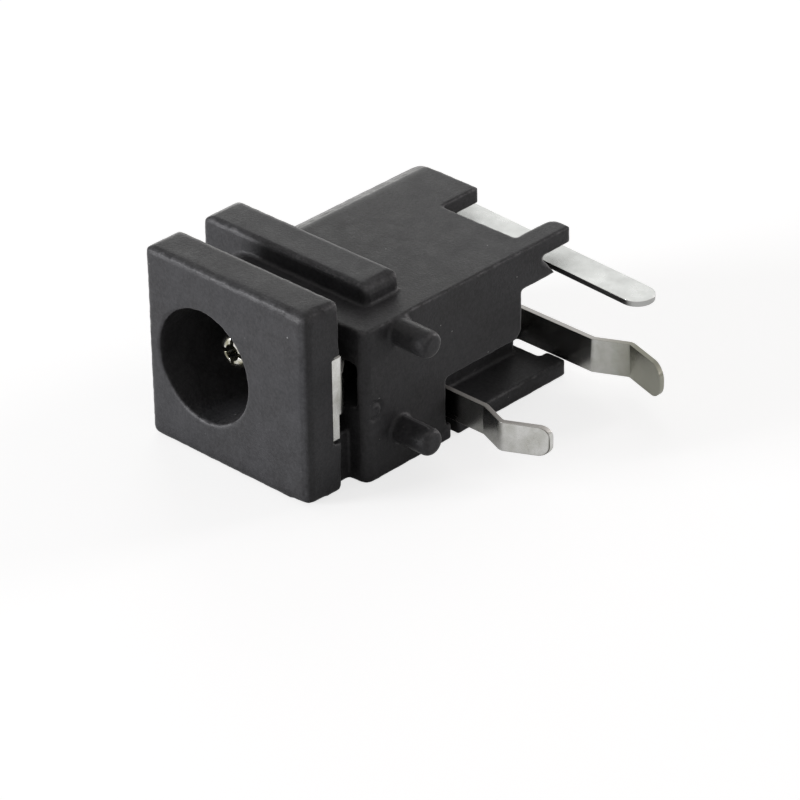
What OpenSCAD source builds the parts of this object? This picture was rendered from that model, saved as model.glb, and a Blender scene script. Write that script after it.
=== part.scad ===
// DC power jack for a circuit board, side entry, with a sleeve spring, a switch contact and a centre pin.
// The part lies with its bore along -Y, its solder side towards +X and its outer side down the -X side.

/* [Flange] */
// Width of the front flange, from the outer side to the board side
flange_width = 7.5; // [7.46:0.02:7.7]
// Height of the front flange
flange_height = 7.22; // [7:0.02:8]
// Thickness of the front flange
flange_depth = 1.62; // [1.5:0.01:2]
// Radius of the flange's corners
flange_corner = 0.2; // [0.1:0.05:0.6]
// Radius of the edge round the flange's front face
flange_edge = 0.12; // [0.05:0.01:0.3]

/* [Socket] */
// Diameter of the bore that takes the plug's sleeve
bore_d = 4.14; // [4:0.02:4.2]
// Distance from the flange's outer side to the bore's axis
bore_from_side = 2.65; // [2.62:0.01:2.75]
// Height of the bore's axis over the underside
bore_from_base = 3.54; // [3.5:0.01:3.58]
// Thickness of the core behind the bore
core_floor = 1.06; // [0.76:0.05:1.46]

/* [Body] */
// Height of the body behind the flange
body_height = 5.8; // [5.76:0.02:5.9]
// Distance from the flange's outer side to the face that sits on the board
board_reach = 7.87; // [7.8:0.01:8.3]
// Width of the groove between the flange and the front block
groove_width = 0.72; // [0.65:0.01:0.78]
// Distance from the front face to the ends of the ears
body_length = 12.54; // [12.4:0.02:13]
// Distance from the ears' ends to the core's back, and to the bottom of the top plate's notch
core_set = 1.88; // [1.79:0.01:1.94]
// Distance from the ears' ends to the back of the low ledge behind the core
ledge_set = 1.02; // [0.94:0.01:1.14]
// Width of the core, from the outer side to the sunk inner wall
core_width = 6.2; // [6.15:0.01:6.3]
// Radius of the body's long outer edges
body_round = 1.25; // [0.8:0.05:1.4]
// Step from the flange's outer side in to the body's outer side
body_inset = 0.05; // [0.02:0.01:0.1]

/* [Collar] */
// Thickness of the collar round the body
collar_depth = 1.64; // [1.4:0.01:1.8]
// Distance from the flange's back to the collar
collar_gap = 2.07; // [1.9:0.01:2.15]
// Height of the collar over the body's top
collar_rise = 0.75; // [0.6:0.01:1]
// Width that the collar stands out past the flange's outer side
collar_out = 1.05; // [0.6:0.05:1.2]
// Distance from the board face back to the collar's end
collar_short = 1.22; // [0.9:0.01:1.3]
// Radius of the collar's top corners
collar_corner = 0.4; // [0.25:0.05:0.5]
// Radius of the collar's front and back edges
collar_edge = 0.18; // [0.1:0.02:0.22]

/* [Pegs] */
// Diameter of the two locating pegs
peg_d = 1; // [0.8:0.05:1.1]
// Length of the pegs from the board face
peg_length = 1.55; // [1:0.05:2]
// Radius of the pegs' round ends
peg_round = 0.2; // [0.1:0.05:0.3]
// Height of the lower peg's axis
peg_low = 1.54; // [1.5:0.02:1.7]
// Distance between the pegs' axes
peg_pitch = 3.71; // [3.6:0.01:3.75]
// Distance from the front face to the pegs' axes
peg_from_front = 4; // [3.8:0.01:4.1]

/* [Board side] */
// Width of the low neck in the groove, from the flange's outer side
neck_width = 7.09; // [7:0.01:7.2]
// Length of the front block on the board side
block_length = 3.95; // [3.85:0.01:4]
// Height of the under edge of the upper board wall
upper_wall_low = 2.45; // [2.35:0.01:2.5]
// Length of the upper board wall behind the block
upper_wall_length = 3.78; // [3.5:0.01:3.9]
// Bevel at the upper board wall's back corner
upper_wall_bevel = 0.3; // [0.1:0.05:0.5]
// Thickness of the top plate and its ears
top_plate = 0.65; // [0.6:0.01:0.68]
// Thickness of the bottom shelf
shelf = 0.65; // [0.5:0.01:0.66]
// Distance from the ears' ends to the shelf's back edge
shelf_set = 0.21; // [0.16:0.01:0.54]
// Width of the ears on the board side
ear_width = 0.88; // [0.75:0.01:0.92]
// Distance from the flange's outer side to the edge of the outer ear
outer_ear = 3.6; // [3.3:0.05:3.8]
// Depth of the notch in the shelf's back edge
shelf_notch = 0.4; // [0.3:0.01:0.5]
// Thickness of the outer side wall beside the rear pocket
side_wall = 0.8; // [0.6:0.05:0.9]
// Height of the under edge of the small wall below the board side ear
ear_wall_low = 4.28; // [4.2:0.01:4.4]
// Gap between the small wall's back and the blade's near edge
ear_wall_gap = 0.06; // [0.04:0.01:0.34]
// Slant of the small wall's back
ear_wall_slant = 0.7; // [0.5:0.05:0.8]
// Radius of the inner corner at the end of the board side ear
ear_round = 0.35; // [0.1:0.05:0.4]
// Radius of the outer corner at the end of the board side ear
ear_edge = 0.1; // [0.05:0.05:0.3]

/* [Metal sheet] */
// Thickness of the contacts' sheet
sheet = 0.2; // [0.18:0.01:0.22]
// Play between a contact and its slot in the housing, on each side
slot_play = 0.05; // [0.03:0.01:0.07]

/* [Centre pin] */
// Diameter of the centre pin
pin_d = 1.3; // [1.2:0.05:1.35]
// Distance from the front face back to the pin's tip
pin_setback = 1.35; // [1.2:0.05:1.6]
// Diameter of the pin's shoulder at the bore's end
shoulder_d = 2.1; // [1.9:0.05:2.3]
// Thickness of the pin's shoulder
shoulder_depth = 0.5; // [0.3:0.05:0.7]
// Diameter of the stem that passes through the core
stem_d = 0.9; // [0.8:0.05:1]
// Diameter of the riveted head
rivet_d = 1.16; // [1.08:0.02:1.16]
// Height of the riveted head
rivet_rise = 0.25; // [0.15:0.01:0.3]
// Width of the slits that let the pin's tip spring
slit_width = 0.16; // [0.1:0.01:0.2]
// Length of the slits from the pin's tip
slit_length = 2; // [1:0.1:3]
// Diameter of the hollow in the pin's tip
hollow_d = 0.6; // [0.4:0.05:0.7]
// Radius of the pin's rounded tip
tip_round = 0.28; // [0.1:0.02:0.3]

/* [Pin terminal] */
// Width of the terminal's solder blade
blade_width = 1.25; // [1.1:0.05:1.3]
// Reach of the blade's tip from the flange's outer side
blade_reach = 11.65; // [11:0.05:12.5]
// Height of the blade's underside
blade_low = 4.28; // [4.26:0.01:4.29]
// Distance from the ears' ends to the blade's near edge, at the board face
blade_set = 0.7; // [0.64:0.01:0.72]
// Width of the riveted plate
plate_width = 2.8; // [2.6:0.05:3]
// Height of the riveted plate's lower edge
plate_low = 2.6; // [2.5:0.05:2.7]
// Inside radius of the bends
bend_r = 0.15; // [0.1:0.01:0.2]

/* [Sleeve spring] */
// Width of the rear solder tail
rear_tail_width = 1.29; // [1.2:0.01:1.3]
// Reach of the rear tail's tip from the flange's outer side
rear_tail_reach = 12.05; // [11.6:0.05:12.5]
// Height of the rear tail's axis
rear_tail_height = 1.2; // [1.15:0.01:1.22]
// Offset of the kink that grips the board hole
rear_kink = 0.6; // [0.3:0.05:0.7]
// Distance from the board face to the rear tail's kink
rear_kink_reach = 2.3; // [2:0.05:2.5]
// Radius of the rear tail's corners at its tip
rear_tail_round = 0.55; // [0.3:0.05:0.6]
// Width of the leaf that runs along the bore
leaf_width = 1.5; // [1.3:0.05:1.6]
// Height of the front lip
lip_height = 3.05; // [2.8:0.05:3.2]
// Depth that the lip reaches into the flange's back
lip_set = 0.32; // [0.2:0.01:0.4]
// Length of the lip's upper part, where the leaf leaves it
lip_length = 0.45; // [0.4:0.01:0.5]
// Length of the lip's lower part
lip_foot = 0.3; // [0.2:0.01:0.35]
// Height of the leaf's middle over the bore's axis
leaf_rise = 0.12; // [0:0.02:0.2]
// Distance that the leaf's crest stands into the bore
crest_in = 0.25; // [0.1:0.05:0.35]
// Distance from the front block's front face to the leaf's crest
crest_from_groove = 2.7; // [2.5:0.05:2.8]

/* [Switch contact] */
// Width of the front solder tail
front_tail_width = 1.13; // [1:0.01:1.2]
// Radius of the front tail's corners at its tip
front_tail_round = 0.4; // [0.2:0.05:0.45]
// Reach of the front tail's tip from the flange's outer side
front_tail_reach = 11.9; // [11.6:0.05:12.5]
// Height of the front tail's axis
front_tail_height = 1.27; // [1.25:0.01:1.3]
// Offset of the kink that grips the board hole
front_kink = 0.42; // [0.3:0.02:0.6]
// Distance from the board face to the front tail's kink
front_kink_reach = 2.5; // [2.2:0.02:2.8]
// Height of the contact's lower edge in its slot
contact_low = 0.1; // [0.05:0.05:0.4]

/* [Hidden] */
$fn = 96;
// Length by which a cut runs past the face it opens
over = 0.1;
// Number of steps in a bend
bend_steps = 6;

// Body
core_length = body_length - core_set;
ledge_length = body_length - ledge_set;
shelf_length = body_length - shelf_set;
blade_near = body_length - blade_set;
ear_wall_back = blade_near - ear_wall_gap;
bore_depth = core_length - core_floor;
body_front = flange_depth + groove_width;
body_left = body_inset;
block_back = body_front + block_length;
upper_wall_back = block_back + upper_wall_length;
collar_front = flange_depth + collar_gap;
collar_right = board_reach - collar_short;
ear_left = board_reach - ear_width;
// Radius of the front block's upright front edge
wall_edge = 0.3;

// Leaf of the sleeve spring, as middle lines seen from above
// Distance from the core's sunk wall in to the leaf's middle
leaf_from_wall = 0.8;
leaf_line = core_width - leaf_from_wall;
// Distance from the flange's board side in to the lip's middle
lip_in = 0.2;
lip_line = flange_width - lip_in;
lip_front = flange_depth - lip_set;
lip_back = lip_front + lip_length;
crest_line = bore_from_side + bore_d / 2 - crest_in + sheet / 2;
crest_back = body_front + crest_from_groove;
// Clear room round the leaf and the switch contact's arm
room = 0.15;
leaf_start = block_back + room;
rear_tail_line = body_length - sheet / 4;
// Play of the riser behind the ledge and under the blade
riser_play = 0.08;
riser_front = ledge_length + riser_play;
riser_low = shelf + slot_play;
riser_top = blade_low - riser_play;
leaf_low = bore_from_base + leaf_rise - leaf_width / 2;
lip_low = bore_from_base - lip_height / 2;
// Play round the lip in its notch
lip_play = 0.1;
// Radius of a bend's middle line
bend_line = bend_r + sheet / 2;

// Leaf's room in the housing
// Width of its mouth in the groove
room_mouth = 0.5;
// Distances by which it opens into the bore before and after the crest
room_before = 0.9;
room_after = 0.4;
// Distance from the bore's axis at which it opens into the bore
room_reach = 1.3;
room_inner = bore_from_side + room_reach;
// Width on the leaf's board side
room_side = 0.45;
room_outer = leaf_line + room_side;

// Switch contact
// Distance from the front block's back to the contact's middle
contact_from_block = 0.39;
front_tail_line = block_back + contact_from_block;
front_tail_low = front_tail_height - front_tail_width / 2;
front_tail_top = front_tail_height + front_tail_width / 2;
// Gap between the arm and the leaf at rest
contact_gap = 0.02;
arm_inner = bore_from_side + bore_d / 2 + room;
arm_outer = leaf_line - sheet / 2 - contact_gap;
// Height of the arm's top over the bore's axis
arm_rise = 0.45;
arm_top = bore_from_base + arm_rise;
// Distance that the contact's foot stays back from the board face
foot_back = 0.5;

// Straight parts of the solder tails beyond the board face
rear_straight = 1.1;
front_straight = 1.4;
rear_tail_low = rear_tail_height - rear_tail_width / 2;

// Pin terminal
plate_back = core_length + sheet;
plate_left = bore_from_side - plate_width / 2;
// Angle of the blade towards the front
blade_slant = 3.3;
// Play round the pin's stem
stem_play = 0.02;

// Moves a piece from the flange's lower outer corner to the bore's mouth
module in_row() {
    translate([-bore_from_side, 0, -bore_from_base])
        children();
}

// Stands an outline drawn as width and height up along the depth axis, from one depth to another
module across(from, to) {
    translate([0, to, 0])
        rotate([90, 0, 0])
            linear_extrude(to - from)
                children();
}

// Turns an outline drawn as depth and height along the width axis, from one width to another
module along(from, to) {
    translate([from, 0, 0])
        rotate([90, 0, 90])
            linear_extrude(to - from)
                children();
}

// Raises an outline drawn as width and depth, from one height to another
module up(from, to) {
    translate([0, 0, from])
        linear_extrude(to - from)
            children();
}

// Rectangle between two corners
module span(a, b) {
    translate(a)
        square(b - a);
}

// Rectangle between two corners with round corners
module soft_span(a, b, r) {
    span([a[0] + r, a[1]], [b[0] - r, b[1]]);
    span([a[0], a[1] + r], [b[0], b[1] - r]);
    for (x = [a[0] + r, b[0] - r])
        for (y = [a[1] + r, b[1] - r])
            translate([x, y])
                circle(r = r);
}

// Rectangle with round corners on its left side only
module left_soft_span(a, b, r) {
    span([a[0] + r, a[1]], b);
    span([a[0], a[1] + r], [b[0], b[1] - r]);
    for (y = [a[1] + r, b[1] - r])
        translate([a[0] + r, y])
            circle(r = r);
}

// Bent sheet drawn as the middle line of its edge
function unit(v) = v / norm(v);
function turned(v, a) = [v[0] * cos(a) - v[1] * sin(a), v[0] * sin(a) + v[1] * cos(a)];
function turn_at(a, b, c) = let (u = unit(b - a), w = unit(c - b)) atan2(u[0] * w[1] - u[1] * w[0], u * w);
function corner(a, b, c, r) = let (
    u = unit(b - a),
    turn = turn_at(a, b, c),
    inward = turned(u, turn > 0 ? 90 : -90),
    start = b - u * r * tan(abs(turn) / 2)
) [for (i = [0:bend_steps]) start + inward * r - turned(inward, turn * i / bend_steps) * r];
function bent(p, r) = concat(
    [p[0]],
    [for (i = [1:len(p) - 2]) each corner(p[i - 1], p[i], p[i + 1], r)],
    [p[len(p) - 1]]
);
function heading(p, i) = unit(
    (i > 0 ? unit(p[i] - p[i - 1]) : [0, 0]) + (i < len(p) - 1 ? unit(p[i + 1] - p[i]) : [0, 0])
);
function side(p, d) = [for (i = [0:len(p) - 1]) p[i] + d * turned(heading(p, i), 90)];
function back(p) = [for (i = [len(p) - 1:-1:0]) p[i]];

module ribbon(points, thick) {
    line = bent(points, bend_line);
    polygon(concat(side(line, thick / 2), back(side(line, -thick / 2))));
}

// Solder tail outline, seen along the depth axis, with a round tip
module tail_outline(inner, reach, low, width, r) {
    span([inner, low], [reach - r, low + width]);
    span([reach - width, low + r], [reach, low + width - r]);
    for (y = [low + r, low + width - r])
        translate([reach - r, y])
            circle(r = r);
}

// Middle line of the sleeve spring, from its front lip back to the tip of its tail
function leaf_path() = [
    [lip_line, lip_front],
    [lip_line, lip_back],
    [crest_line, crest_back],
    [leaf_line, leaf_start],
    [leaf_line, rear_tail_line],
    [board_reach + rear_straight, rear_tail_line],
    [board_reach + rear_kink_reach, rear_tail_line + rear_kink],
    [rear_tail_reach + over, rear_tail_line]
];

// Middle line of the switch contact, from its arm out to the tip of its tail
function switch_path() = [
    [arm_inner, front_tail_line],
    [board_reach + front_straight, front_tail_line],
    [board_reach + front_kink_reach, front_tail_line - front_kink],
    [front_tail_reach + over, front_tail_line + front_kink]
];

module flange() {
    intersection() {
        across(0, flange_depth)
            soft_span([0, 0], [flange_width, flange_height], flange_corner);
        along(0, flange_width) {
            span([flange_edge, 0], [flange_depth, flange_height]);
            soft_span([0, 0], [flange_depth, flange_height], flange_edge);
        }
        up(0, flange_height) {
            span([0, flange_edge], [flange_width, flange_depth]);
            soft_span([0, 0], [flange_width, flange_depth], flange_edge);
        }
    }
}

// What a round corner leaves of a square one, with the open side towards the signs given
module off_corner(p, r, open) {
    difference() {
        translate([p[0] - (open[0] > 0 ? r : over), p[1] - (open[1] > 0 ? r : over)])
            square(r + over);
        translate([p[0] - open[0] * r, p[1] - open[1] * r])
            circle(r = r);
    }
}

module core() {
    across(flange_depth, core_length)
        left_soft_span([body_left, 0], [core_width, body_height], body_round);
    // Low ledge behind the core
    across(core_length - over, ledge_length)
        span([body_left + side_wall - over, shelf - over], [core_width, upper_wall_low]);
    // Outer side wall, top plate with its outer ear, and shelf
    difference() {
        across(body_front, body_length)
            left_soft_span([body_left, 0], [board_reach, body_height], body_round);
        up(-over, body_height + over)
            off_corner([board_reach, body_front], wall_edge, [1, -1]);
        // Open room on the board side and at the back
        across(body_front - over, body_length + over)
            span([core_width, shelf], [board_reach + over, body_height - top_plate]);
        across(core_length, body_length + over)
            span([body_left + side_wall, shelf], [board_reach + over, body_height - top_plate]);
        // Notch in the top plate
        up(body_height - top_plate - over, body_height + over)
            span([outer_ear, core_length], [ear_left, body_length + over]);
        up(body_height / 2, body_height + over) {
            off_corner([board_reach, body_length], ear_edge, [1, 1]);
            off_corner([ear_left, body_length], ear_round, [-1, 1]);
        }
        // Shorter shelf with its notch
        up(-over, shelf + over) {
            span([body_left + side_wall, shelf_length], [board_reach + over, body_length + over]);
            span([outer_ear, shelf_length - shelf_notch], [ear_left, body_length + over]);
        }
    }
}

module board_side() {
    difference() {
        up(0, body_height)
            span([core_width - over, body_front], [board_reach, block_back]);
        up(-over, body_height + over)
            off_corner([board_reach, body_front], wall_edge, [1, -1]);
    }
    along(core_width - over, board_reach)
        polygon([
            [block_back - over, upper_wall_low],
            [upper_wall_back - upper_wall_bevel, upper_wall_low],
            [upper_wall_back, upper_wall_low + upper_wall_bevel],
            [upper_wall_back, body_height - over],
            [block_back - over, body_height - over]
        ]);
    along(ear_left, board_reach)
        polygon([
            [upper_wall_back - over, ear_wall_low],
            [ear_wall_back, ear_wall_low],
            [ear_wall_back - ear_wall_slant, body_height - top_plate],
            [ear_wall_back - ear_wall_slant, body_height - top_plate + over],
            [upper_wall_back - over, body_height - top_plate + over]
        ]);
    for (z = [peg_low, peg_low + peg_pitch])
        translate([board_reach, peg_from_front, z])
            rotate([0, 90, 0])
                rotate_extrude()
                    peg_outline();
}

// Half of a peg's outline, as radius and length, with a round end
module peg_outline() {
    span([0, -over], [peg_d / 2, peg_length - peg_round]);
    span([0, -over], [peg_d / 2 - peg_round, peg_length]);
    intersection() {
        translate([peg_d / 2 - peg_round, peg_length - peg_round])
            circle(r = peg_round);
        span([0, 0], [peg_d, peg_length]);
    }
}

// Neck that joins the flange to the front block, in the groove below the lip
module neck() {
    across(flange_depth - over, body_front + over)
        span([core_width - over, 0], [neck_width, lip_low - lip_play]);
}

module collar() {
    top = body_height + collar_rise;
    collar_back = collar_front + collar_depth;
    intersection() {
        across(collar_front, collar_back)
            soft_span([-collar_out, -2 * collar_corner], [collar_right, top], collar_corner);
        along(-collar_out, collar_right)
            soft_span([collar_front, -2 * collar_edge], [collar_back, top], collar_edge);
        up(0, top)
            soft_span([-collar_out, collar_front], [collar_right, collar_back], collar_edge);
    }
}

module housing() {
    color("#2c2c2f") in_row() difference() {
        union() {
            flange();
            core();
            neck();
            board_side();
            collar();
        }
        // Bore, and the hole for the pin's stem
        translate([bore_from_side, -over, bore_from_base])
            rotate([-90, 0, 0]) {
                cylinder(d = bore_d, h = bore_depth + over);
                cylinder(d = stem_d + 2 * stem_play, h = core_length + 2 * over);
            }
        // Room for the leaf of the sleeve spring, open to the bore, the groove and the back
        up(leaf_low - slot_play, leaf_low + leaf_width + slot_play) {
            polygon([
                [lip_line - room_mouth, flange_depth],
                [lip_line + room, flange_depth],
                [lip_line + room, body_front + room_mouth],
                [room_outer, crest_back],
                [room_outer, leaf_start],
                [leaf_line - sheet / 2 - slot_play, leaf_start],
                [room_inner, crest_back + room_after],
                [room_inner, crest_back - room_before]
            ]);
            span(
                [leaf_line - sheet / 2 - slot_play, leaf_start - over],
                [leaf_line + sheet / 2 + slot_play, core_length + over]
            );
        }
        // Slot for the switch contact, open to the underside
        across(front_tail_line - sheet / 2 - slot_play, front_tail_line + sheet / 2 + slot_play) {
            span([arm_inner - slot_play, -over], [board_reach + over, front_tail_top + slot_play]);
            span([arm_inner - slot_play, -over], [arm_outer + slot_play, arm_top + slot_play]);
        }
        // Notch at the flange's back for the lip of the sleeve spring
        across(lip_front - slot_play, flange_depth + over)
            span(
                [lip_line - sheet / 2 - lip_play, lip_low - lip_play],
                [flange_width + over, lip_low + lip_height + lip_play]
            );
    }
}

module center_pin() {
    head = rivet_d / 2;
    tip = pin_setback + tip_round;
    color("#cfcabb") in_row()
        translate([bore_from_side, 0, bore_from_base])
            rotate([-90, 0, 0])
                difference() {
                    union() {
                        rotate_extrude() {
                            span([0, tip], [pin_d / 2, bore_depth]);
                            span([0, pin_setback], [pin_d / 2 - tip_round, tip + over]);
                            intersection() {
                                translate([pin_d / 2 - tip_round, tip])
                                    circle(r = tip_round);
                                span([0, pin_setback], [pin_d, tip + over]);
                            }
                            span([0, bore_depth - shoulder_depth], [shoulder_d / 2, bore_depth]);
                            span([0, bore_depth - over], [stem_d / 2, plate_back + over]);
                        }
                        translate([0, 0, plate_back])
                            cylinder(r1 = head, r2 = head - rivet_rise, h = rivet_rise);
                    }
                    // Hollow and crossed slits that let the tip spring
                    translate([0, 0, pin_setback - over]) {
                        cylinder(d = hollow_d, h = slit_length + over);
                        translate([-pin_d, -slit_width / 2, 0])
                            cube([2 * pin_d, slit_width, slit_length + over]);
                        translate([-slit_width / 2, -pin_d, 0])
                            cube([slit_width, 2 * pin_d, slit_length + over]);
                    }
                }
}

module pin_terminal() {
    bend_out = bend_r + sheet;
    color("#c9cbc8") in_row() difference() {
        union() {
            // Riveted plate, its bend and the blade's root, drawn as depth and height
            along(plate_left, plate_left + plate_width) {
                span([core_length, plate_low], [plate_back, blade_low - bend_r]);
                span([core_length + bend_out, blade_low], [blade_near + blade_width / 2, blade_low + sheet]);
                intersection() {
                    translate([core_length + bend_out, blade_low - bend_r])
                        difference() {
                            circle(r = bend_out);
                            circle(r = bend_r);
                        }
                    span([core_length, blade_low - bend_r], [core_length + bend_out, blade_low + sheet]);
                }
            }
            // Blade
            up(blade_low, blade_low + sheet)
                translate([board_reach, blade_near])
                    rotate(-blade_slant) {
                        span([plate_left - board_reach, 0], [blade_reach - board_reach - blade_width / 2, blade_width]);
                        translate([blade_reach - board_reach - blade_width / 2, blade_width / 2])
                            circle(d = blade_width);
                    }
        }
        translate([bore_from_side, core_length - over, bore_from_base])
            rotate([-90, 0, 0])
                cylinder(d = stem_d + 2 * stem_play, h = sheet + 2 * over);
    }
}

module sleeve_spring() {
    bend_start = rear_tail_line - bend_line;
    color("#b9bab4") in_row() intersection() {
        up(0, body_height)
            ribbon(leaf_path(), sheet);
        union() {
            // Front lip, leaf, riser behind the core, and solder tail
            across(lip_front - over, lip_front + lip_foot)
                span([0, lip_low], [board_reach, lip_low + lip_height]);
            across(lip_front - over, lip_back)
                span([0, bore_from_base], [board_reach, lip_low + lip_height]);
            across(lip_front, riser_front)
                span([0, leaf_low], [board_reach, leaf_low + leaf_width]);
            across(riser_front, bend_start)
                span([0, riser_low], [board_reach, riser_top]);
            across(bend_start - over, body_length + 2 * rear_kink)
                tail_outline(0, rear_tail_reach, rear_tail_low, rear_tail_width, rear_tail_round);
        }
    }
}

module switch_contact() {
    color("#b0b1ab") in_row() intersection() {
        up(0, body_height)
            ribbon(switch_path(), sheet);
        across(0, body_length) {
            tail_outline(arm_inner, front_tail_reach, front_tail_low, front_tail_width, front_tail_round);
            span([arm_inner, contact_low], [board_reach - foot_back, front_tail_top]);
            span([arm_inner, contact_low], [arm_outer, arm_top]);
        }
    }
}

housing();
center_pin();
pin_terminal();
sleeve_spring();
switch_contact();
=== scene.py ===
import math

import bmesh
import bpy
from mathutils import Matrix, Vector, noise


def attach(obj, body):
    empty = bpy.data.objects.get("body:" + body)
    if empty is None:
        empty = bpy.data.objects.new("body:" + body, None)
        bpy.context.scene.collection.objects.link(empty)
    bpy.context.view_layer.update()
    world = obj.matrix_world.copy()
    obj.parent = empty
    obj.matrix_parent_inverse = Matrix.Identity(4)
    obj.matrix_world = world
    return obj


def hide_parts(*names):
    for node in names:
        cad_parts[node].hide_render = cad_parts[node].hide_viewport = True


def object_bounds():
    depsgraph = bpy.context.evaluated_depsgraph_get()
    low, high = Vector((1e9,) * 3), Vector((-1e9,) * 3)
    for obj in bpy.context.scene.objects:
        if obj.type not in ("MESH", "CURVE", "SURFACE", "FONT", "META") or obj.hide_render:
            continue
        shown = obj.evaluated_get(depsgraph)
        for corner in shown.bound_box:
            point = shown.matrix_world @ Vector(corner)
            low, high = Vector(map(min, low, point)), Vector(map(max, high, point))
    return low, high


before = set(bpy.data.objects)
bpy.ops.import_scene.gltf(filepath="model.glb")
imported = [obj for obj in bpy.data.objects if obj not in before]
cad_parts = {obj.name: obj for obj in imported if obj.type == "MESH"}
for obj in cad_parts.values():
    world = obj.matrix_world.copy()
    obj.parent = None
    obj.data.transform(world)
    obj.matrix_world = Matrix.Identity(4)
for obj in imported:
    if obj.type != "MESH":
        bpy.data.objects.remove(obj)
cad_low, cad_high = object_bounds()

MM = 0.001

# ---------------------------------------------------------------- materials


class Nodes:
    """Short way to write a material's node tree."""

    def __init__(self, name):
        self.mat = bpy.data.materials.new(name)
        self.mat.use_nodes = True
        self.tree = self.mat.node_tree
        self.tree.nodes.clear()
        self.out = self.add("ShaderNodeOutputMaterial")

    def add(self, kind, inputs=None, **props):
        node = self.tree.nodes.new(kind)
        for key, value in props.items():
            setattr(node, key, value)
        for key, value in (inputs or {}).items():
            self.set(node.inputs[key], value)
        return node

    def set(self, socket, value):
        if isinstance(value, bpy.types.NodeSocket):
            self.tree.links.new(value, socket)
        else:
            socket.default_value = value

    def math(self, op, a, b=0.0):
        node = self.add("ShaderNodeMath", operation=op)
        self.set(node.inputs[0], a)
        self.set(node.inputs[1], b)
        return node.outputs[0]

    def noise(self, where, scale, detail=2.0, rough=0.5):
        node = self.add("ShaderNodeTexNoise", {
            "Vector": where, "Scale": scale, "Detail": detail, "Roughness": rough,
        })
        return node.outputs["Fac"]

    def ramp(self, value, low, high, to_low=0.0, to_high=1.0):
        node = self.add("ShaderNodeMapRange", {
            "Value": value, "From Min": low, "From Max": high, "To Min": to_low, "To Max": to_high,
        })
        node.clamp = True
        return node.outputs[0]

    def mix(self, fac, a, b):
        node = self.add("ShaderNodeMix", data_type="RGBA")
        self.set(node.inputs["Factor"], fac)
        self.set(node.inputs["A"], a)
        self.set(node.inputs["B"], b)
        return node.outputs["Result"]

    def bump(self, height, strength, distance):
        node = self.add("ShaderNodeBump", {
            "Height": height, "Strength": strength, "Distance": distance,
        })
        return node.outputs[0]


def edge_line_mask(n, at, patch_scale, low, high):
    """Broken line along the rounded edges, from the mesh's "edge": up to 1 on them, 0 off them."""
    edge = n.add("ShaderNodeAttribute", attribute_name="edge").outputs["Fac"]
    patches = n.ramp(n.noise(at, patch_scale, 3.0, 0.6), low, high)
    return n.math("MULTIPLY", edge, patches)


def specks(n, at, scale, size, share):
    """Small round spots, one in some of the cells."""
    cell = n.add("ShaderNodeTexVoronoi", {"Vector": at, "Scale": scale})
    near = n.ramp(cell.outputs["Distance"], size, size * 0.4)
    pick = n.add("ShaderNodeSeparateColor", {"Color": cell.outputs["Color"]})
    chosen = n.math("GREATER_THAN", pick.outputs[0], 1.0 - share)
    return n.math("MULTIPLY", near, chosen)


def black_plastic():
    n = Nodes("black_moulded_plastic")
    at = n.add("ShaderNodeTexCoord").outputs["Object"]
    grain = n.noise(at, 11000.0, 3.0, 0.6)
    cloud = n.noise(at, 1300.0, 4.0, 0.65)
    flow = n.noise(at, 320.0, 2.0, 0.5)
    base = n.mix(n.ramp(flow, 0.35, 0.65), (0.032, 0.0315, 0.033, 1), (0.036, 0.0365, 0.0395, 1))
    base = n.mix(n.ramp(cloud, 0.45, 0.75, 0.0, 0.7), base, (0.060, 0.060, 0.064, 1))
    fine = n.noise(at, 7000.0, 2.0, 0.7)
    base = n.mix(n.ramp(fine, 0.38, 0.66, 0.0, 0.42), base, (0.075, 0.075, 0.079, 1))
    base = n.mix(specks(n, at, 1700.0, 0.06, 0.16), base, (0.34, 0.34, 0.34, 1))
    base = n.mix(specks(n, at, 3400.0, 0.10, 0.10), base, (0.12, 0.12, 0.125, 1))
    # Edges are painted lighter, partly as wear and partly as a painted highlight; the edges that
    # face up get the most
    normal = n.add("ShaderNodeNewGeometry").outputs["Normal"]
    up = n.add("ShaderNodeSeparateXYZ", {0: normal}).outputs[2]
    wear_and_highlight = edge_line_mask(n, at, 1900.0, 0.42, 0.62)
    rubbed_and_highlit = n.math("MULTIPLY", wear_and_highlight, n.ramp(up, 0.05, 0.55, 0.15, 1.0))
    base = n.mix(rubbed_and_highlit, base, (0.13, 0.13, 0.135, 1))
    facing = n.add("ShaderNodeLayerWeight").outputs["Facing"]
    # Painted shade: hollows and gaps are painted darker, where shade falls, by ambient occlusion;
    # the same mask dims the specular there
    painted_shade = n.add("ShaderNodeAmbientOcclusion", {"Distance": 0.0011}, samples=4).outputs["AO"]
    painted_shade = n.ramp(painted_shade, 0.15, 0.85, 0.55, 1.0)
    base = n.mix(painted_shade, (0.006, 0.006, 0.006, 1), base)
    rough = n.ramp(cloud, 0.3, 0.7, 0.40, 0.54)
    grazing = n.ramp(facing, 0.60, 0.85, 0.0, 0.10)
    shader = n.add("ShaderNodeBsdfPrincipled", {
        "Base Color": base,
        "Roughness": n.math("SUBTRACT", rough, grazing),
        "Specular IOR Level": n.math("MULTIPLY", painted_shade, n.ramp(facing, 0.54, 0.76, 0.24, 1.0)),
        "Normal": n.bump(grain, 0.5, 0.00002),
    })
    n.set(n.out.inputs["Surface"], shader.outputs[0])
    return n.mat


# Along the tail, from where its colour starts to change to where the change is full, in metres
TIP_TONE_FROM = 0.0062
TIP_TONE_TO = 0.0078
TIP_TONE = 0.9


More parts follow.
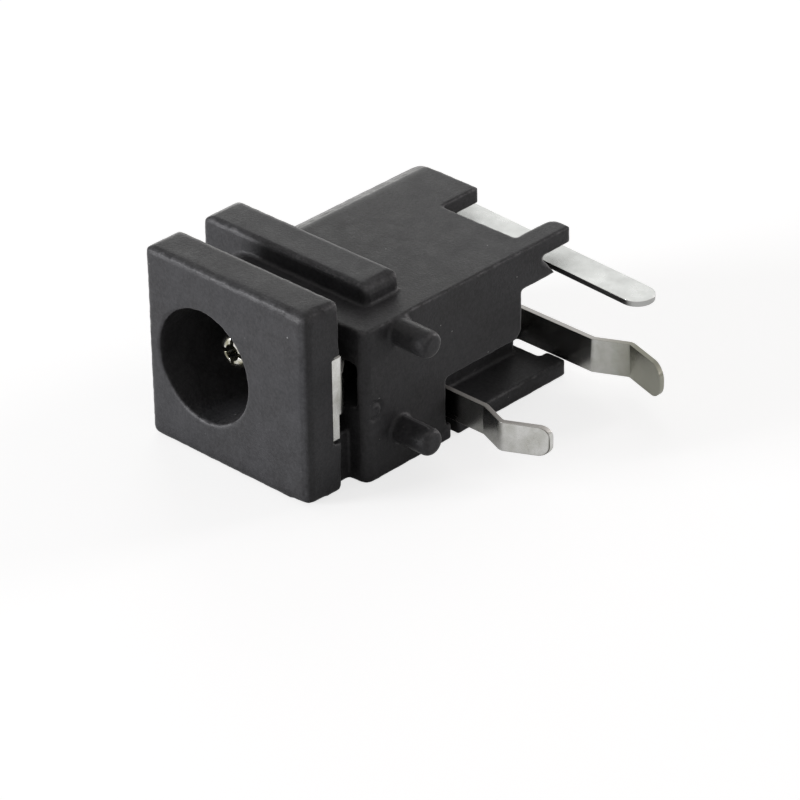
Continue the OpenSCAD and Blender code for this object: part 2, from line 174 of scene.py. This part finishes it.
def plated_sheet(name, light, dark, shine, line, cut_axis=None, tip=None, reach=0.0008):
    """Stamped and tinned sheet; its cut edges, which face along cut_axis, are rough."""
    n = Nodes(name)
    at = n.add("ShaderNodeTexCoord").outputs["Object"]
    cloud = n.noise(at, 1500.0, 4.0, 0.65)
    wave = n.noise(at, 650.0, 1.0, 0.4)
    base = n.mix(n.ramp(cloud, 0.35, 0.7), light, dark)
    # Painted line along the rounded edges: painted shade where line is dark (spring, switch),
    # painted highlight where it is light (blade)
    base = n.mix(edge_line_mask(n, at, 1400.0, 0.30, 0.55), base, line)
    rough = n.ramp(cloud, 0.3, 0.7, shine, shine + 0.12)
    # Painted shade: the tin is painted darker where the housing shields it, by ambient occlusion,
    # standing in for its shade and the dark housing it mirrors
    painted_shade_ao = n.add("ShaderNodeAmbientOcclusion", {"Distance": reach}, samples=4).outputs["AO"]
    base = n.mix(n.ramp(painted_shade_ao, 0.50, 0.84, 0.85, 0.0), base, (0.05, 0.05, 0.045, 1))
    if cut_axis is not None:
        normal = n.add("ShaderNodeNewGeometry").outputs["True Normal"]
        flat = n.add("ShaderNodeSeparateXYZ", {0: normal})
        cut = n.ramp(n.math("ABSOLUTE", flat.outputs[cut_axis]), 0.45, 0.65)
        base = n.mix(cut, base, (0.55, 0.54, 0.52, 1))
        rough = n.math("MAXIMUM", rough, n.math("MULTIPLY", cut, 0.62))
    if tip is not None:
        # The tail is darker and yellowish towards its tip
        along = n.add("ShaderNodeSeparateXYZ", {0: at}).outputs[0]
        far = n.ramp(along, TIP_TONE_FROM, TIP_TONE_TO, 0.0, TIP_TONE)
        base = n.mix(far, base, tip)
    shader = n.add("ShaderNodeBsdfPrincipled", {
        "Base Color": base,
        "Metallic": 1.0,
        "Roughness": rough,
        "Normal": n.bump(wave, 0.3, 0.00006),
    })
    n.set(n.out.inputs["Surface"], shader.outputs[0])
    return n.mat


def pin_metal():
    n = Nodes("nickel_pin")
    at = n.add("ShaderNodeTexCoord").outputs["Object"]
    rings = n.noise(at, 3000.0, 2.0, 0.5)
    shader = n.add("ShaderNodeBsdfPrincipled", {
        "Base Color": n.mix(n.ramp(rings, 0.4, 0.6), (0.90, 0.89, 0.84, 1), (0.52, 0.50, 0.36, 1)),
        "Metallic": 1.0,
        "Roughness": n.ramp(rings, 0.3, 0.7, 0.10, 0.24),
    })
    n.set(n.out.inputs["Surface"], shader.outputs[0])
    return n.mat


plastic = black_plastic()
ACROSS_SHEET = 2  # the two tails' cut edges face along Z
blade_sheet = plated_sheet(
    "tinned_blade", (0.51, 0.515, 0.505, 1), (0.46, 0.465, 0.455, 1),
    0.24, (0.62, 0.62, 0.60, 1), reach=0.0016,
)
spring_sheet = plated_sheet(
    "tinned_spring", (0.84, 0.84, 0.82, 1), (0.64, 0.64, 0.59, 1),
    0.15, (0.13, 0.125, 0.10, 1), ACROSS_SHEET, (0.30, 0.30, 0.245, 1),
)
switch_sheet = plated_sheet(
    "tinned_switch", (0.74, 0.74, 0.72, 1), (0.54, 0.54, 0.50, 1),
    0.17, (0.10, 0.095, 0.08, 1), ACROSS_SHEET,
)
pin = pin_metal()

# ---------------------------------------------------------------- pieces


def run_modifiers(obj):
    """Turn what the modifiers make into the object's own mesh."""
    graph = bpy.context.evaluated_depsgraph_get()
    mesh = bpy.data.meshes.new_from_object(obj.evaluated_get(graph))
    obj.modifiers.clear()
    obj.data = mesh
    return mesh


WELD = 0.0005  # points closer than this are one, in millimetres
MERGE_ANGLE = math.radians(0.4)
SHARP_ANGLE = math.radians(60)
BEVEL_ANGLE = math.radians(28)


def softened(node, width, segments, material):
    """Copy of a CAD node with its sharp edges rounded. Worked in millimetres, kept in metres."""
    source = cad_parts[node]
    mesh = source.data.copy()
    mesh.transform(Matrix.Scale(1 / MM, 4))
    mesh.materials.clear()
    # The second slot marks the beveled strips
    for _ in range(2):
        mesh.materials.append(material)
    bm = bmesh.new()
    bm.from_mesh(mesh)
    bmesh.ops.remove_doubles(bm, verts=bm.verts, dist=WELD)
    bmesh.ops.dissolve_limit(
        bm, angle_limit=MERGE_ANGLE, verts=bm.verts, edges=bm.edges, delimit={"NORMAL"}
    )
    for face in bm.faces:
        face.smooth = True
        face.material_index = 0
    bm.to_mesh(mesh)
    bm.free()
    mesh.set_sharp_from_angle(angle=SHARP_ANGLE)
    obj = bpy.data.objects.new(node + "_soft", mesh)
    bpy.context.scene.collection.objects.link(obj)
    bevel = obj.modifiers.new("edges", "BEVEL")
    bevel.width = width
    bevel.segments = segments
    bevel.limit_method = "ANGLE"
    bevel.angle_limit = BEVEL_ANGLE
    bevel.use_clamp_overlap = True
    bevel.miter_outer = "MITER_ARC"
    bevel.material = 1
    even = obj.modifiers.new("normals", "WEIGHTED_NORMAL")
    even.mode = "FACE_AREA"
    even.weight = 100
    even.keep_sharp = False
    done = run_modifiers(obj)
    done.transform(Matrix.Scale(MM, 4))
    # The rounded strips' inner points carry 1 in "edge", all others 0
    inner = [True] * len(done.vertices)
    used = [False] * len(done.vertices)
    for face in done.polygons:
        for i in face.vertices:
            used[i] = True
            if face.material_index == 0:
                inner[i] = False
    mark = done.attributes.new("edge", "FLOAT", "POINT")
    for i, item in enumerate(mark.data):
        item.value = 1.0 if inner[i] and used[i] else 0.0
    for face in done.polygons:
        face.material_index = 0
    done.materials.clear()
    done.materials.append(material)
    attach(obj, "root")
    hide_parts(node)


# Ring that the mould's gate leaves on the board face, in millimetres
GATE = Vector((5.22, 2.83, -0.85))
GATE_REACH = 0.8
GATE_FACE = 0.05
GATE_RING = 0.31
GATE_RING_DEPTH = 0.06
GATE_RING_WIDTH = 0.07
GATE_DIMPLE_DEPTH = 0.03
GATE_DIMPLE_WIDTH = 0.09
# Bounds that pick the flange's outer edges, in millimetres
FLANGE_BACK = 1.66
FLANGE_SIDE = 3.9
SIDE_BACK = 0.95
LIP_FRONT = 1.0
LIP_HALF = 1.9
BORE_RIM_SQUARED = 6.4
# Edges are uneven by these amounts, in millimetres; points on flats keep their place
FLAT = 0.985
BOARD_FACE = 0.98
UNEVEN_BROAD = 0.012
UNEVEN_SMALL = 0.006
UNEVEN_IN = 0.008
# Bend per millimetre where "edge" starts, and over how much more it grows to 1
EDGE_FROM = 1.5
EDGE_OVER = 1.6


def melt(obj, rounds, group=""):
    """Smooth the mesh, or only a vertex group of it."""
    smooth = obj.modifiers.new("melt", "SMOOTH")
    smooth.factor = 0.5
    smooth.iterations = rounds
    smooth.vertex_group = group


def moulded(node, voxel, rounds, more_rounds, side_rounds, ratio, material):
    """Copy of a CAD node with every edge melted round, as moulding leaves it."""
    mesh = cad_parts[node].data.copy()
    mesh.transform(Matrix.Scale(1 / MM, 4))
    obj = bpy.data.objects.new(node + "_moulded", mesh)
    bpy.context.scene.collection.objects.link(obj)
    fine = obj.modifiers.new("fine", "REMESH")
    fine.mode = "VOXEL"
    fine.voxel_size = voxel
    fine.adaptivity = 0.0
    melt(obj, rounds)
    mesh = run_modifiers(obj)
    # The flange's outer edges are rounder than the rest
    group = obj.vertex_groups.new(name="flange")
    chosen = []
    for v in mesh.vertices:
        x, y, z = v.co
        lip = x > FLANGE_SIDE and y > LIP_FRONT and abs(z) < LIP_HALF
        if y < FLANGE_BACK and x * x + z * z > BORE_RIM_SQUARED and not lip:
            chosen.append(v.index)
    group.add(chosen, 1.0, "REPLACE")
    melt(obj, more_rounds, "flange")
    mesh = run_modifiers(obj)
    # Its two upright edges on the board side are the roundest
    group = obj.vertex_groups.new(name="side")
    chosen = [v.index for v in mesh.vertices if v.co.x > FLANGE_SIDE and v.co.y < SIDE_BACK]
    group.add(chosen, 1.0, "REPLACE")
    melt(obj, side_rounds, "side")
    mesh = run_modifiers(obj)
    # Slight unevenness of the edges, and the scar that the gate leaves on the board face
    mesh.update()
    normals = [v.vector.copy() for v in mesh.vertex_normals]
    for v, along in zip(mesh.vertices, normals):
        if max(abs(along.x), abs(along.y), abs(along.z)) < FLAT:
            broad = UNEVEN_BROAD * noise.noise(v.co * 2.6)
            small = UNEVEN_SMALL * noise.noise(v.co * 9.0)
            v.co += along * (broad + small - UNEVEN_IN)
            continue
        away = (v.co - GATE).length
        if along.x > BOARD_FACE and abs(v.co.x - GATE.x) < GATE_FACE and away < GATE_REACH:
            ring = GATE_RING_DEPTH * math.exp(-((away - GATE_RING) / GATE_RING_WIDTH) ** 2)
            dimple = GATE_DIMPLE_DEPTH * math.exp(-(away / GATE_DIMPLE_WIDTH) ** 2)
            v.co.x -= ring + dimple
    thin = obj.modifiers.new("thin", "DECIMATE")
    thin.ratio = ratio
    mesh = run_modifiers(obj)
    for face in mesh.polygons:
        face.use_smooth = True
    mesh.update()
    # Outward corners carry up to 1 in "edge", flats and hollows 0
    bend = [0.0] * len(mesh.vertices)
    count = [0] * len(mesh.vertices)
    normals = [v.vector.copy() for v in mesh.vertex_normals]
    for edge in mesh.edges:
        a, b = edge.vertices
        way = mesh.vertices[b].co - mesh.vertices[a].co
        turn = (normals[b] - normals[a]).dot(way) / max(way.length_squared, 1e-6)
        for i in (a, b):
            bend[i] += turn
            count[i] += 1
    mark = mesh.attributes.new("edge", "FLOAT", "POINT")
    for i, item in enumerate(mark.data):
        mean = bend[i] / max(count[i], 1)
        item.value = min(1.0, max(0.0, (mean - EDGE_FROM) / EDGE_OVER))
    mesh.transform(Matrix.Scale(MM, 4))
    mesh.materials.clear()
    mesh.materials.append(material)
    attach(obj, "root")
    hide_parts(node)


moulded(
    "housing", voxel=0.05, rounds=24, more_rounds=40, side_rounds=110, ratio=0.3, material=plastic,
)
for node, width, segments, material in (
    ("center_pin", 0.02, 2, pin), ("pin_terminal", 0.05, 3, blade_sheet),
    ("sleeve_spring", 0.04, 3, spring_sheet), ("switch_contact", 0.04, 3, switch_sheet),
):
    softened(node, width, segments, material)

# ---------------------------------------------------------------- stage

FLOOR_Z = cad_low[2]
# Light that the floor adds where the camera sees it, and where metal and plastic mirror it
FLOOR_LIFT = 0.735
FLOOR_GLOSS = 0.52
# Strength of the world for plain rays, and for mirrored ones
SKY = 0.24
SKY_GLOSS = 0.62
bpy.ops.mesh.primitive_plane_add(size=4, location=(0, 0, FLOOR_Z))
floor = bpy.context.object
floor.name = "floor"
n = Nodes("pale_floor")
shader = n.add("ShaderNodeBsdfPrincipled", {
    "Base Color": (0.55, 0.55, 0.55, 1), "Roughness": 0.9, "Specular IOR Level": 0.0,
})
path = n.add("ShaderNodeLightPath")
none = n.add("ShaderNodeEmission", {"Strength": 0.0})
# Painted shade: the floor that metal and plastic mirror is darker near the object, by ambient
# occlusion
open_floor = n.add("ShaderNodeAmbientOcclusion", {"Distance": 0.004}, samples=2).outputs["AO"]
mirrored_floor_shade = n.ramp(open_floor, 0.35, 0.95, 0.1, 1.0)
gloss = n.add("ShaderNodeEmission", {
    "Color": (1, 1, 1, 1), "Strength": n.math("MULTIPLY", mirrored_floor_shade, FLOOR_GLOSS),
})
lift = n.add("ShaderNodeEmission", {"Color": (1, 1, 1, 1), "Strength": FLOOR_LIFT})
mirrored = n.add("ShaderNodeMixShader", {
    0: path.outputs["Is Glossy Ray"], 1: none.outputs[0], 2: gloss.outputs[0],
})
pick = n.add("ShaderNodeMixShader", {
    0: path.outputs["Is Camera Ray"], 1: mirrored.outputs[0], 2: lift.outputs[0],
})
both = n.add("ShaderNodeAddShader", {0: shader.outputs[0], 1: pick.outputs[0]})
n.set(n.out.inputs["Surface"], both.outputs[0])
floor.data.materials.append(n.mat)

world = bpy.data.worlds.new("studio")
bpy.context.scene.world = world
world.use_nodes = True
tree = world.node_tree
tree.nodes.clear()
sky = tree.nodes.new("ShaderNodeBackground")
sky.inputs["Color"].default_value = (1, 0.97, 0.95, 1)
white = tree.nodes.new("ShaderNodeBackground")
white.inputs["Strength"].default_value = 1.0
white.inputs["Color"].default_value = (1, 1, 1, 1)
path = tree.nodes.new("ShaderNodeLightPath")
mix = tree.nodes.new("ShaderNodeMixShader")
out = tree.nodes.new("ShaderNodeOutputWorld")
mirrored = tree.nodes.new("ShaderNodeMath")
mirrored.operation = "MULTIPLY_ADD"
mirrored.inputs[1].default_value = SKY_GLOSS - SKY
mirrored.inputs[2].default_value = SKY
tree.links.new(path.outputs["Is Glossy Ray"], mirrored.inputs[0])
tree.links.new(mirrored.outputs[0], sky.inputs["Strength"])
tree.links.new(path.outputs["Is Camera Ray"], mix.inputs[0])
tree.links.new(sky.outputs[0], mix.inputs[1])
tree.links.new(white.outputs[0], mix.inputs[2])
tree.links.new(mix.outputs[0], out.inputs[0])


def area(name, place, size, power, color, aim=(0.003, 0.006, 0)):
    light = bpy.data.lights.new(name, "AREA")
    light.shape = "DISK"
    light.size = size
    light.energy = power
    light.color = color
    obj = bpy.data.objects.new(name, light)
    bpy.context.scene.collection.objects.link(obj)
    obj.location = place
    obj.rotation_euler = (Vector(aim) - Vector(place)).to_track_quat("-Z", "Y").to_euler()


area("front", (-0.16, -0.26, 0.042), 0.12, 0.98, (0.98, 0.975, 1.0))
area("back_left", (-0.206, 0.224, 0.177), 0.20, 0.10, (0.97, 1.0, 1.0))
area("back_right", (0.12, 0.30, 0.08), 0.12, 0.35, (1.0, 0.96, 0.97))
area("rim", (-0.25, 0.20, 0.035), 0.12, 0.08, (1.0, 1.0, 0.97))

# ---------------------------------------------------------------- camera

# Fitted to the photograph
CAM_PLACE = (0.0899194, -0.0841219, 0.0707158)
CAM_FORWARD = Vector((-0.59787042, 0.62200114, -0.5056338))
CAM_RIGHT = Vector((0.72559049, 0.68802936, -0.01157764))
CAM_UP = Vector((-0.34068959, 0.373805, 0.86267052))
CAM_LENS = 192.1
camera_data = bpy.data.cameras.new("camera")
camera_data.lens = CAM_LENS
camera_data.sensor_width = 36
camera_data.clip_start = 0.005
camera = bpy.data.objects.new("camera", camera_data)
bpy.context.scene.collection.objects.link(camera)
turn = Matrix((CAM_RIGHT, CAM_UP, -CAM_FORWARD)).transposed()
camera.matrix_world = Matrix.Translation(CAM_PLACE) @ turn.to_4x4()
bpy.context.scene.camera = camera
bpy.context.scene.view_settings.view_transform = "Standard"
